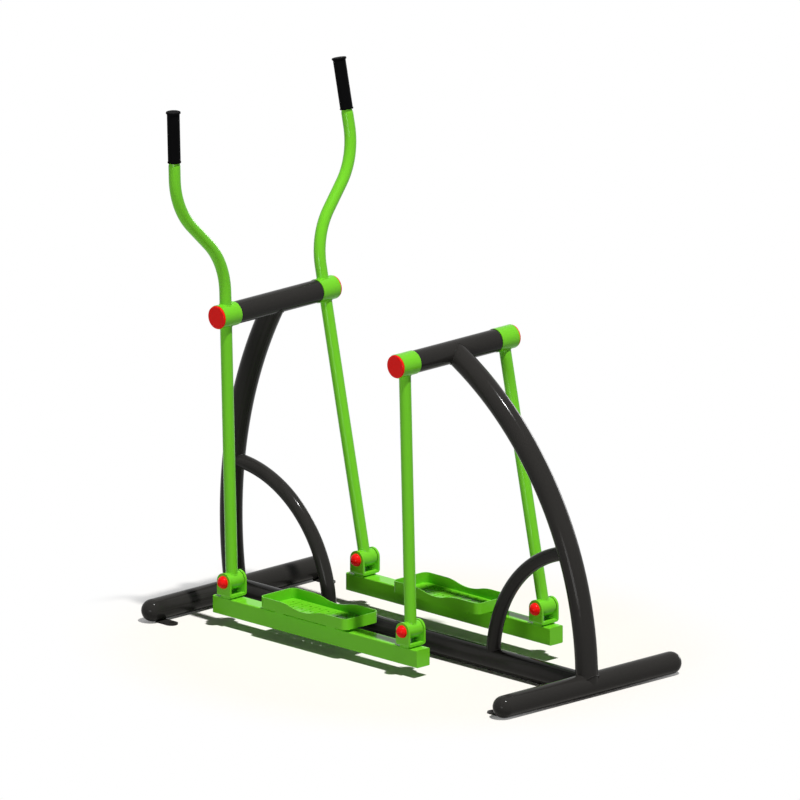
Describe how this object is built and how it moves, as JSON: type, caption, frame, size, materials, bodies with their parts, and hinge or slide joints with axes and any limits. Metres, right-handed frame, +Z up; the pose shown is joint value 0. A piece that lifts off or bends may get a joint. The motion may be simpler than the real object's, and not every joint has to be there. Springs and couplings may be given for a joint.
{
  "type": "outdoor air walker",
  "caption": "Outdoor gym air walker: a curved black tube frame carries two swinging handle levers and hangers, each pair holding a walking beam with a wavy pedal tray.",
  "frame": {"origin": "ground level, at the centre of the four anchor holes, half way between the foot tubes", "axes": "+X forwards, the way the user faces; +Y to the user's left, along the axles; +Z up"},
  "size_m": [1.747, 0.943, 1.7863],
  "materials": {
    "frame_paint": "glossy black powder coat",
    "green_paint": "glossy green powder coat",
    "red_plastic": "glossy red moulded caps",
    "grip_rubber": "matt black rubber",
    "steel": "turned and zinc-plated steel"
  },
  "bodies": {
    "frame": {"front_foot_tube": "frame_paint", "rear_foot_tube": "frame_paint", "foot_end_caps": "frame_paint", "base_rail": "frame_paint", "front_column": "frame_paint", "rear_column": "frame_paint", "front_brace": "frame_paint", "rear_brace": "frame_paint", "front_cross_tube": "frame_paint", "rear_cross_tube": "frame_paint", "anchor_lugs": "frame_paint", "axles": "steel", "axle_plugs": "frame_paint", "axle_clips": "steel"},
    "left_lever": {"left_front_hub": "green_paint", "left_front_hub_bearings": "steel", "left_front_hub_cap": "red_plastic", "left_handle_tube": "green_paint", "left_grip": "grip_rubber", "left_front_lever": "green_paint", "left_front_barrel": "green_paint", "left_front_pivot_bearings": "steel"},
    "left_hanger": {"left_rear_hub": "green_paint", "left_rear_hub_bearings": "steel", "left_rear_hub_cap": "red_plastic", "left_rear_hanger": "green_paint", "left_rear_barrel": "green_paint", "left_rear_pivot_bearings": "steel"},
    "left_beam": {"left_beam": "green_paint", "left_beam_end_plates": "green_paint", "left_clevises": "green_paint", "left_weld_pads": "green_paint", "left_tray": "green_paint", "left_pivot_bolts": "steel", "left_pivot_nuts": "steel", "left_pivot_caps": "red_plastic"},
    "right_lever": {"right_front_hub": "green_paint", "right_front_hub_bearings": "steel", "right_front_hub_cap": "red_plastic", "right_handle_tube": "green_paint", "right_grip": "grip_rubber", "right_front_lever": "green_paint", "right_front_barrel": "green_paint", "right_front_pivot_bearings": "steel"},
    "right_hanger": {"right_rear_hub": "green_paint", "right_rear_hub_bearings": "steel", "right_rear_hub_cap": "red_plastic", "right_rear_hanger": "green_paint", "right_rear_barrel": "green_paint", "right_rear_pivot_bearings": "steel"},
    "right_beam": {"right_beam": "green_paint", "right_beam_end_plates": "green_paint", "right_clevises": "green_paint", "right_weld_pads": "green_paint", "right_tray": "green_paint", "right_pivot_bolts": "steel", "right_pivot_nuts": "steel", "right_pivot_caps": "red_plastic"}
  },
  "joints": [
    {"name": "left_lever_swing", "type": "hinge", "parent": "frame", "child": "left_lever", "pos_m": [0.64, 0.227, 1.052], "axis": [0, 1, 0], "range_deg": [-6.8, 38.2]},
    {"name": "left_beam_pivot", "type": "hinge", "parent": "left_lever", "child": "left_beam", "pos_m": [0.61173, 0.227, 0.15244], "axis": [0, 1, 0], "range_deg": [-38.2, 6.8]},
    {"name": "left_hanger_swing", "type": "hinge", "parent": "frame", "child": "left_hanger", "pos_m": [-0.2, 0.227, 1.052], "axis": [0, 1, 0], "range_deg": [-6.8, 38.2]},
    {"name": "right_lever_swing", "type": "hinge", "parent": "frame", "child": "right_lever", "pos_m": [0.64, -0.227, 1.052], "axis": [0, 1, 0], "range_deg": [-17.25, 27.75]},
    {"name": "right_beam_pivot", "type": "hinge", "parent": "right_lever", "child": "right_beam", "pos_m": [0.44904, -0.227, 0.17249], "axis": [0, 1, 0], "range_deg": [-27.75, 17.25]},
    {"name": "right_hanger_swing", "type": "hinge", "parent": "frame", "child": "right_hanger", "pos_m": [-0.2, -0.227, 1.052], "axis": [0, 1, 0], "range_deg": [-17.25, 27.75]}
  ],
  "couplings": [
    {"joint": "left_beam_pivot", "follows": "left_lever_swing", "ratio": -1},
    {"joint": "left_hanger_swing", "follows": "left_lever_swing", "ratio": 1},
    {"joint": "right_beam_pivot", "follows": "right_lever_swing", "ratio": -1},
    {"joint": "right_hanger_swing", "follows": "right_lever_swing", "ratio": 1}
  ]
}
